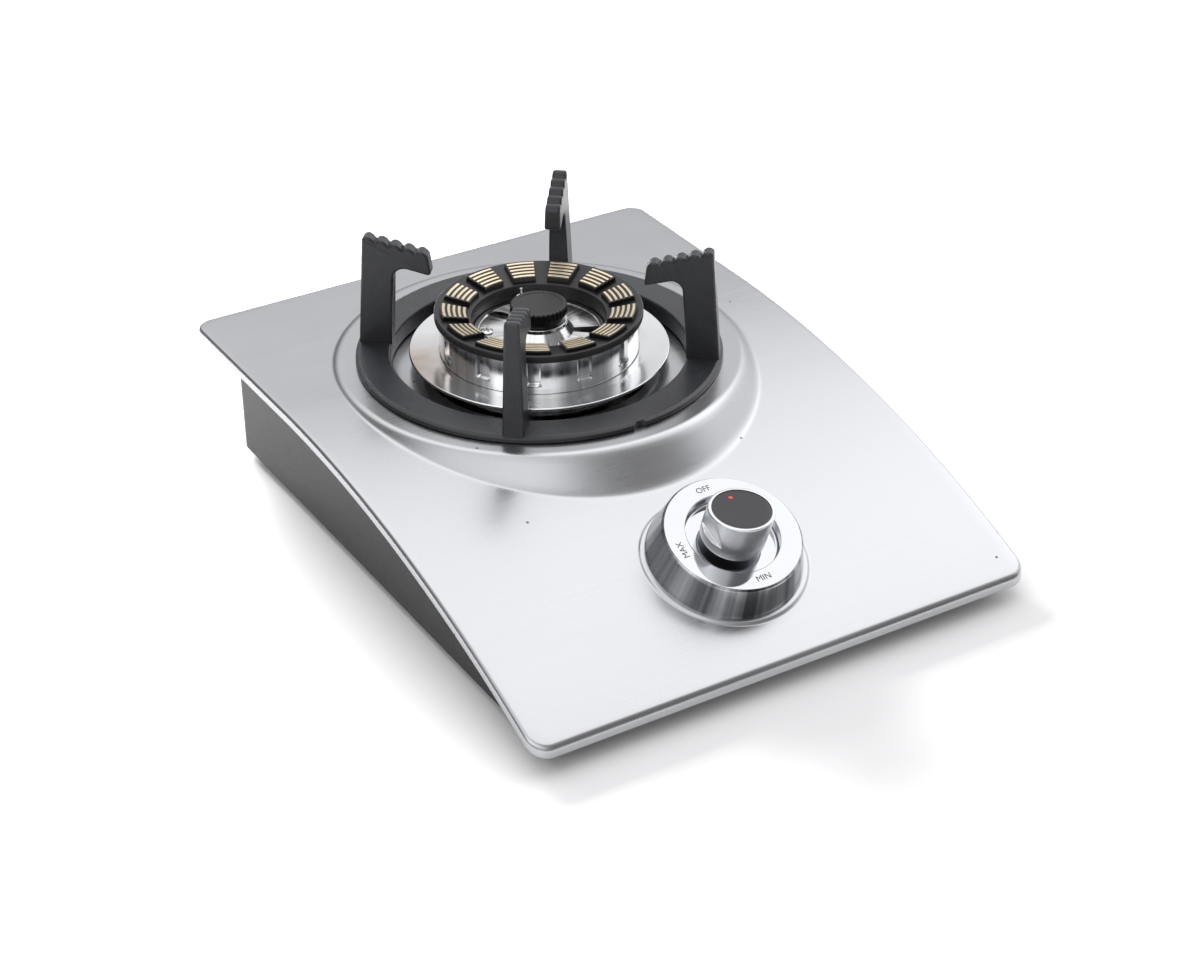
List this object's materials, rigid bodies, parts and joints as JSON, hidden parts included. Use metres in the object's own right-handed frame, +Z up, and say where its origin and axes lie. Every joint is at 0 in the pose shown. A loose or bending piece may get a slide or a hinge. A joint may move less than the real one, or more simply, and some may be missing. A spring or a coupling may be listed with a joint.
{
  "type": "wok burner",
  "caption": "Table-top gas wok burner: arched satin steel panel on a black tray, ported crown and cap, ribbed four-arm pan support, push-and-turn knob in a raised dial ring.",
  "frame": {"origin": "on the floor, under the centre of the top panel", "axes": "+X to the user's right, +Y to the back, +Z up"},
  "size_m": [0.306, 0.398, 0.1443],
  "materials": {
    "satin_steel": "satin brushed",
    "black_enamel": "satin black",
    "zinc_steel": "zinc plated",
    "bright_steel": "bright",
    "foot_rubber": "matte",
    "cast_iron": "matte charcoal enamel",
    "polished_steel": "mirror polished",
    "cast_aluminium": "machined",
    "black_brass": "matte black coat, bare on the port strips",
    "white_ceramic": "glazed ceramic",
    "lead_rubber": "matte silicone",
    "grey_plastic": "matte",
    "plain_brass": "machined",
    "pipe_aluminium": "drawn",
    "mirror_chrome": "mirror",
    "satin_chrome": "satin",
    "dark_inlay": "gloss",
    "red_mark": "gloss"
  },
  "bodies": {
    "body": {"top_panel": "satin_steel", "panel_brackets": "zinc_steel", "body_tray": "black_enamel", "base_plate": "black_enamel", "plate_screws": "bright_steel", "feet": "foot_rubber", "foot_screws": "bright_steel", "burner_head": "cast_aluminium", "spoke_screws": "bright_steel", "electrode_insulator": "white_ceramic", "electrode_pin": "bright_steel", "igniter_lead": "lead_rubber", "piezo_igniter": "grey_plastic", "burner_posts": "zinc_steel", "post_screws": "bright_steel", "outer_mixing_tube": "cast_aluminium", "inner_mixing_tube": "cast_aluminium", "outer_jet": "plain_brass", "inner_jet": "plain_brass", "outer_pipe": "pipe_aluminium", "inner_pipe": "pipe_aluminium", "inlet_pipe": "pipe_aluminium", "inlet_nozzle": "plain_brass", "valve_plate": "zinc_steel", "valve_screws": "bright_steel", "valve_body": "pipe_aluminium", "return_spring": "bright_steel", "dial_ring": "mirror_chrome", "dial_screws": "bright_steel"},
    "support": {"pan_support": "cast_iron"},
    "drip": {"drip_ring": "polished_steel"},
    "crown": {"burner_crown": "black_brass"},
    "cap": {"inner_cap": "black_brass"},
    "plug": {"valve_plug": "plain_brass"},
    "knob": {"valve_spindle": "bright_steel", "knob": "satin_chrome", "knob_inlay": "dark_inlay", "knob_pointer": "red_mark"}
  },
  "joints": [
    {"name": "support_lift", "type": "slide", "parent": "body", "child": "support", "axis": [0, 0, 1], "range_m": [0, 0.09]},
    {"name": "drip_lift", "type": "slide", "parent": "body", "child": "drip", "axis": [0, 0, 1], "range_m": [0, 0.016]},
    {"name": "crown_lift", "type": "slide", "parent": "body", "child": "crown", "axis": [0, 0, 1], "range_m": [0, 0.06]},
    {"name": "cap_lift", "type": "slide", "parent": "body", "child": "cap", "axis": [0, 0, 1], "range_m": [0, 0.05]},
    {"name": "knob_turn", "type": "hinge", "parent": "body", "child": "plug", "pos_m": [0, -0.133, 0.04041], "axis": [0, -0.37, 0.929], "range_deg": [0, 180]},
    {"name": "knob_push", "type": "slide", "parent": "plug", "child": "knob", "axis": [0, 0.37, -0.929], "range_m": [0, 0.0035], "stiffness_N_per_m": 1200, "springref_m": -0.004, "deforming": ["return_spring"]}
  ]
}
